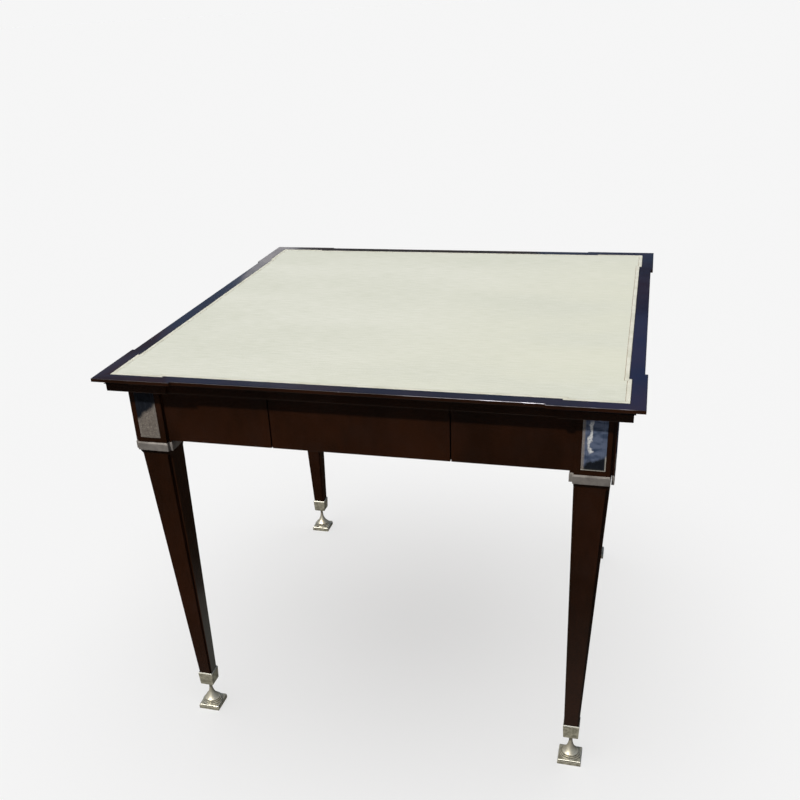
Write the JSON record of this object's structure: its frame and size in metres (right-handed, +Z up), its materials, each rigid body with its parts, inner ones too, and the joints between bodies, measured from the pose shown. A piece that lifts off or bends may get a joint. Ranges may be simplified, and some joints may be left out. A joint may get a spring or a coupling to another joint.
{
  "type": "games_table",
  "caption": "Square lacquered games table with broken-corner moulded top, pale lift-out playing panel, apron drawers, and tapered notched legs with metal collars, caps and stepped feet",
  "frame": {"origin": "on the floor under the middle of the top", "axes": "+X to the right along the front, -Y to the front, +Z up"},
  "size_m": [0.9, 0.9, 0.756],
  "materials": {
    "lacquered_wood": "gloss lacquer",
    "silvered_metal": "satin, lightly tarnished",
    "polished_metal": "polished with a fine grain",
    "playing_leather": "smooth, faintly streaked",
    "playing_cloth": "napped baize",
    "cream_lipping": "satin paint",
    "inner_wood": "plain planed",
    "drawer_wood": "waxed"
  },
  "bodies": {
    "table": {"top_rail_front": "lacquered_wood", "top_rail_right": "lacquered_wood", "top_rail_back": "lacquered_wood", "top_rail_left": "lacquered_wood", "top_bearer_front": "lacquered_wood", "top_bearer_right": "lacquered_wood", "top_bearer_back": "lacquered_wood", "top_bearer_left": "lacquered_wood", "apron_front_left": "lacquered_wood", "apron_front_right": "lacquered_wood", "apron_right_left": "lacquered_wood", "apron_right_right": "lacquered_wood", "apron_back_left": "lacquered_wood", "apron_back_right": "lacquered_wood", "apron_left_left": "lacquered_wood", "apron_left_right": "lacquered_wood", "leg_front_left": "lacquered_wood", "leg_front_right": "lacquered_wood", "leg_back_right": "lacquered_wood", "leg_back_left": "lacquered_wood", "leg_collar_front_left": "silvered_metal", "leg_collar_front_right": "silvered_metal", "leg_collar_back_right": "silvered_metal", "leg_collar_back_left": "silvered_metal", "leg_sabot_front_left": "silvered_metal", "leg_sabot_front_right": "silvered_metal", "leg_sabot_back_right": "silvered_metal", "leg_sabot_back_left": "silvered_metal", "foot_front_left": "silvered_metal", "foot_front_right": "silvered_metal", "foot_back_right": "silvered_metal", "foot_back_left": "silvered_metal", "plaques": "polished_metal", "cross_rail_front": "inner_wood", "cross_rail_right": "inner_wood", "cross_rail_back": "inner_wood", "cross_rail_left": "inner_wood", "runner_bars": "inner_wood", "drawer_guides": "inner_wood", "drawer_stops": "inner_wood"},
    "front_drawer": {"drawer_front_front": "lacquered_wood", "drawer_sides_front": "drawer_wood", "drawer_back_front": "drawer_wood", "drawer_bottom_front": "drawer_wood"},
    "right_drawer": {"drawer_front_right": "lacquered_wood", "drawer_sides_right": "drawer_wood", "drawer_back_right": "drawer_wood", "drawer_bottom_right": "drawer_wood"},
    "back_drawer": {"drawer_front_back": "lacquered_wood", "drawer_sides_back": "drawer_wood", "drawer_back_back": "drawer_wood", "drawer_bottom_back": "drawer_wood"},
    "left_drawer": {"drawer_front_left": "lacquered_wood", "drawer_sides_left": "drawer_wood", "drawer_back_left": "drawer_wood", "drawer_bottom_left": "drawer_wood"},
    "playing_panel": {"panel_core": "inner_wood", "panel_leather": "playing_leather", "panel_baize": "playing_cloth", "panel_lipping": "cream_lipping"}
  },
  "joints": [
    {"name": "front_drawer_slide", "type": "slide", "parent": "table", "child": "front_drawer", "axis": [0, -1, 0], "range_m": [0, 0.16]},
    {"name": "right_drawer_slide", "type": "slide", "parent": "table", "child": "right_drawer", "axis": [1, 0, 0], "range_m": [0, 0.16]},
    {"name": "back_drawer_slide", "type": "slide", "parent": "table", "child": "back_drawer", "axis": [0, 1, 0], "range_m": [0, 0.16]},
    {"name": "left_drawer_slide", "type": "slide", "parent": "table", "child": "left_drawer", "axis": [-1, 0, 0], "range_m": [0, 0.16]},
    {"name": "playing_panel_lift", "type": "slide", "parent": "table", "child": "playing_panel", "axis": [0, 0, 1], "range_m": [0, 0.25]}
  ]
}
